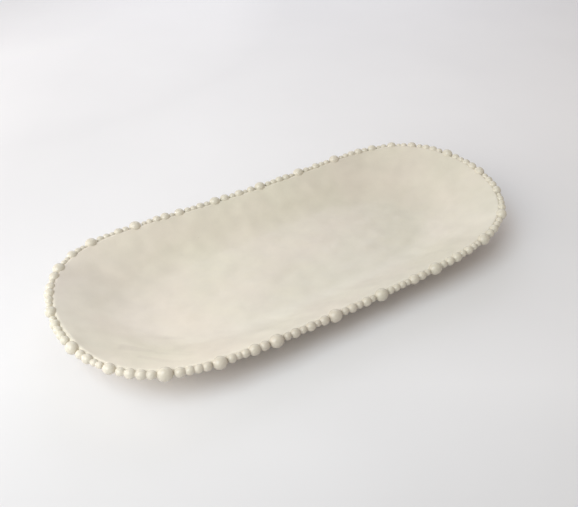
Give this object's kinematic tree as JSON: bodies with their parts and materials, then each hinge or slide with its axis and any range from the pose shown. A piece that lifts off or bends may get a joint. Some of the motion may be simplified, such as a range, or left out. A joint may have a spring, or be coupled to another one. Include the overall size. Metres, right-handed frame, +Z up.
{
  "type": "serving platter",
  "caption": "Long oval serving platter of pressed clay with sloping walls that rise at the ends and a string of rolled clay beads round its cut edge, in a satin cream glaze.",
  "frame": {"origin": "middle of the flat base, on the surface that the platter stands on", "axes": "+X along the platter's length, +Y across it, +Z up out of the dish"},
  "size_m": [0.4386, 0.2026, 0.044],
  "materials": {
    "slab_glaze": "satin cream glaze",
    "bead_glaze": "satin cream glaze"
  },
  "bodies": {
    "root": {"dish": "slab_glaze", "accent_bead_01": "bead_glaze", "bead_run_01": "bead_glaze", "accent_bead_02": "bead_glaze", "bead_run_02": "bead_glaze", "accent_bead_03": "bead_glaze", "bead_run_03": "bead_glaze", "accent_bead_04": "bead_glaze", "bead_run_04": "bead_glaze", "accent_bead_05": "bead_glaze", "bead_run_05": "bead_glaze", "accent_bead_06": "bead_glaze", "bead_run_06": "bead_glaze", "accent_bead_07": "bead_glaze", "bead_run_07": "bead_glaze", "accent_bead_08": "bead_glaze", "bead_run_08": "bead_glaze", "accent_bead_09": "bead_glaze", "bead_run_09": "bead_glaze", "accent_bead_10": "bead_glaze", "bead_run_10": "bead_glaze", "accent_bead_11": "bead_glaze", "bead_run_11": "bead_glaze", "accent_bead_12": "bead_glaze", "bead_run_12": "bead_glaze", "accent_bead_13": "bead_glaze", "bead_run_13": "bead_glaze", "accent_bead_14": "bead_glaze", "bead_run_14": "bead_glaze", "accent_bead_15": "bead_glaze", "bead_run_15": "bead_glaze", "accent_bead_16": "bead_glaze", "bead_run_16": "bead_glaze", "accent_bead_17": "bead_glaze", "bead_run_17": "bead_glaze", "accent_bead_18": "bead_glaze", "bead_run_18": "bead_glaze", "accent_bead_19": "bead_glaze", "bead_run_19": "bead_glaze", "accent_bead_20": "bead_glaze", "bead_run_20": "bead_glaze", "accent_bead_21": "bead_glaze", "bead_run_21": "bead_glaze", "accent_bead_22": "bead_glaze", "bead_run_22": "bead_glaze", "accent_bead_23": "bead_glaze", "bead_run_23": "bead_glaze", "accent_bead_24": "bead_glaze", "bead_run_24": "bead_glaze", "accent_bead_25": "bead_glaze", "bead_run_25": "bead_glaze"}
  },
  "joints": []
}
